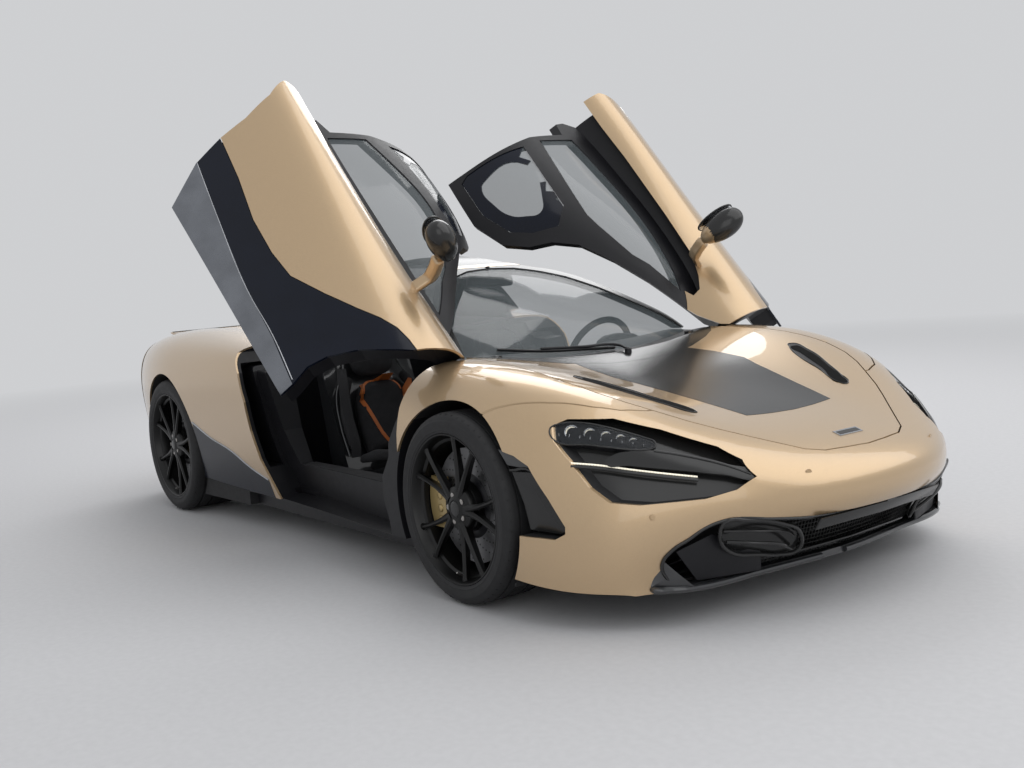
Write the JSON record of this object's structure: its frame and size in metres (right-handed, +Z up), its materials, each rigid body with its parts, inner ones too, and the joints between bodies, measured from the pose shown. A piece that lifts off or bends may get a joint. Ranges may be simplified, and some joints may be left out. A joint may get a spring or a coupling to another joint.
{
  "type": "supercar",
  "caption": "Low mid-engined two-seat sports car with upward-swinging doors standing open, sprung lids, spoked wheels and a teardrop glasshouse.",
  "frame": {"origin": "on the ground under the middle of the car's length and width", "axes": "+X forward, +Y to the car's left, +Z up"},
  "size_m": [4.5259, 2.6686, 1.9463],
  "materials": {
    "body_paint": "metallic gloss",
    "dark_panel": "gloss",
    "dark_trim": "satin",
    "window_glass": "clear",
    "gloss_black": "gloss",
    "wheel_black": "gloss black",
    "tyre": "matt",
    "cast_grey": "cast",
    "lamp_dark": "gloss",
    "lamp_red": "gloss",
    "steel": "brushed",
    "structure": "matt",
    "leather_dark": "grained",
    "seat_cloth": "woven",
    "caliper_paint": "gloss"
  },
  "bodies": {
    "body": {"dashboard": "leather_dark", "diffuser": "gloss_black", "engine_block": "cast_grey", "engine_cover": "gloss_black", "exhausts": "steel", "front_arms": "cast_grey", "front_bumper": "body_paint", "front_fenders": "body_paint", "front_intake": "gloss_black", "front_structure": "structure", "headlamps": "lamp_dark", "rear_bumper": "body_paint", "rear_calipers": "caliper_paint", "rear_glass": "window_glass", "rear_quarters": "body_paint", "rear_structure": "structure", "rear_uprights": "cast_grey", "roof_frame": "gloss_black", "seat_cushions": "seat_cloth", "seat_shells": "gloss_black", "side_intakes": "gloss_black", "tail_lamps": "lamp_red", "tub": "structure", "windscreen": "window_glass"},
    "door_right": {"door_frame_right": "dark_trim", "door_glass_right": "window_glass", "door_lower_right": "dark_panel", "door_skin_right": "body_paint", "mirror_right": "gloss_black"},
    "door_left": {"door_frame_left": "dark_trim", "door_glass_left": "window_glass", "door_lower_left": "dark_panel", "door_skin_left": "body_paint", "mirror_left": "gloss_black"},
    "bonnet": {"bonnet": "body_paint"},
    "wheel_front_right": {"rim_front_right": "wheel_black", "tyre_front_right": "tyre"},
    "wheel_front_left": {"rim_front_left": "wheel_black", "tyre_front_left": "tyre"},
    "wheel_rear_right": {"rim_rear_right": "wheel_black", "tyre_rear_right": "tyre"},
    "wheel_rear_left": {"rim_rear_left": "wheel_black", "tyre_rear_left": "tyre"},
    "knuckle_right": {"caliper_right": "caliper_paint", "knuckle_right": "cast_grey"},
    "knuckle_left": {"caliper_left": "caliper_paint", "knuckle_left": "cast_grey"},
    "steering_wheel": {"steering_wheel": "leather_dark"},
    "rear_wing": {"rear_wing": "body_paint"}
  },
  "joints": [
    {"name": "door_right", "type": "hinge", "parent": "body", "child": "door_right", "pos_m": [0.8, -0.595, 0.809], "axis": [0.7174, -0.5995, -0.3547], "range_deg": [0, 67.7]},
    {"name": "door_left", "type": "hinge", "parent": "body", "child": "door_left", "pos_m": [0.8, 0.595, 0.809], "axis": [-0.7174, -0.5995, 0.3547], "range_deg": [0, 67.7]},
    {"name": "bonnet_lid", "type": "hinge", "parent": "body", "child": "bonnet", "pos_m": [0.906, 0, 0.785], "axis": [0, -1, 0], "range_deg": [0, 55]},
    {"name": "steer_right", "type": "hinge", "parent": "body", "child": "knuckle_right", "pos_m": [1.1965, -0.802, 0.327], "axis": [0, 0, 1], "range_deg": [-31, 31]},
    {"name": "spin_front_right", "type": "hinge", "parent": "knuckle_right", "child": "wheel_front_right", "pos_m": [1.1965, -0.832, 0.327], "axis": [0, 1, 0], "continuous": true},
    {"name": "spin_rear_right", "type": "hinge", "parent": "body", "child": "wheel_rear_right", "pos_m": [-1.4735, -0.8, 0.3455], "axis": [0, 1, 0], "continuous": true},
    {"name": "steer_left", "type": "hinge", "parent": "body", "child": "knuckle_left", "pos_m": [1.1965, 0.802, 0.327], "axis": [0, 0, 1], "range_deg": [-31, 31]},
    {"name": "spin_front_left", "type": "hinge", "parent": "knuckle_left", "child": "wheel_front_left", "pos_m": [1.1965, 0.832, 0.327], "axis": [0, 1, 0], "continuous": true},
    {"name": "spin_rear_left", "type": "hinge", "parent": "body", "child": "wheel_rear_left", "pos_m": [-1.4735, 0.8, 0.3455], "axis": [0, 1, 0], "continuous": true},
    {"name": "steering_wheel", "type": "hinge", "parent": "body", "child": "steering_wheel", "pos_m": [0.48, 0.37, 0.69], "axis": [-0.9292, 0, 0.3697], "range_deg": [-434, 434]},
    {"name": "rear_wing", "type": "hinge", "parent": "body", "child": "rear_wing", "pos_m": [-2.092, 0, 0.886], "axis": [0, 1, 0], "range_deg": [0, 25]}
  ],
  "couplings": [
    {"joint": "steer_left", "follows": "steer_right", "ratio": 1},
    {"joint": "steering_wheel", "follows": "steer_right", "ratio": 14}
  ]
}
